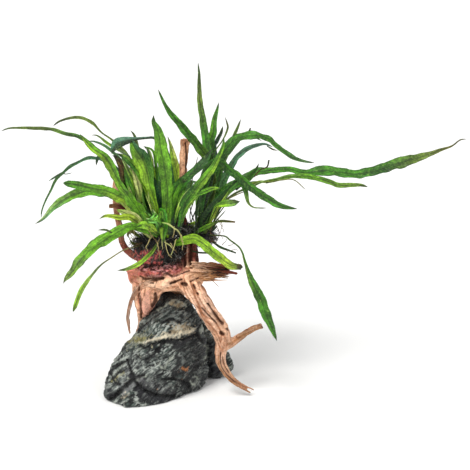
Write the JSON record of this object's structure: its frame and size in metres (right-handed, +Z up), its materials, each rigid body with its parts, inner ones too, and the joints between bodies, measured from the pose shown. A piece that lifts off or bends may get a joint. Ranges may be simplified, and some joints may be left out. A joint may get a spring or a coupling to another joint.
{
  "type": "java fern on driftwood",
  "caption": "Narrow-leaf java fern: long strap leaves in clumps on dark, hairy rhizomes held by a branching driftwood stump that straddles a dark stone with pale veins",
  "frame": {"origin": "centre of the stone's flat resting face", "axes": "+Z up, +X towards the viewer's right, which is where the longest leaf points, +Y away from the viewer"},
  "size_m": [0.4604, 0.1962, 0.3272],
  "materials": {
    "leaf": "satin, wavy and finely veined, yellow-green to dark green",
    "driftwood": "bare, weathered, grooved along the grain",
    "rhizome": "matt, covered with fine black hairs",
    "stone": "damp sheen, layered, with pale veins"
  },
  "bodies": {
    "root": {"leaf_back_01": "leaf", "leaf_back_02": "leaf", "leaf_back_03": "leaf", "leaf_back_04": "leaf", "leaf_back_05": "leaf", "leaf_back_06": "leaf", "leaf_left_01": "leaf", "leaf_left_02": "leaf", "leaf_left_03": "leaf", "leaf_left_04": "leaf", "leaf_left_05": "leaf", "leaf_left_06": "leaf", "leaf_left_07": "leaf", "leaf_left_08": "leaf", "leaf_left_09": "leaf", "leaf_left_10": "leaf", "leaf_left_11": "leaf", "leaf_middle_01": "leaf", "leaf_middle_02": "leaf", "leaf_middle_03": "leaf", "leaf_middle_04": "leaf", "leaf_middle_05": "leaf", "leaf_middle_06": "leaf", "leaf_middle_07": "leaf", "leaf_middle_08": "leaf", "leaf_middle_09": "leaf", "leaf_right_01": "leaf", "leaf_right_02": "leaf", "leaf_right_03": "leaf", "leaf_right_04": "leaf", "leaf_right_05": "leaf", "leaf_right_06": "leaf", "leaf_right_07": "leaf", "leaf_right_08": "leaf", "leaf_right_09": "leaf", "leaf_right_10": "leaf", "leaf_right_11": "leaf", "leaf_right_12": "leaf", "leaf_right_13": "leaf", "leaf_right_14": "leaf", "leaf_right_15": "leaf", "leaf_right_16": "leaf", "leaf_right_17": "leaf", "leaf_right_18": "leaf", "rhizome_left": "rhizome", "rhizome_right": "rhizome", "stone": "stone", "wood_arm_stub": "driftwood", "wood_back_root": "driftwood", "wood_cut_branch": "driftwood", "wood_frayed_stub": "driftwood", "wood_inner_root": "driftwood", "wood_left_arm": "driftwood", "wood_outer_root": "driftwood", "wood_right_leg": "driftwood", "wood_stump": "driftwood", "wood_twig_left": "driftwood", "wood_twig_right": "driftwood", "wood_upright_stick": "driftwood"}
  },
  "joints": []
}
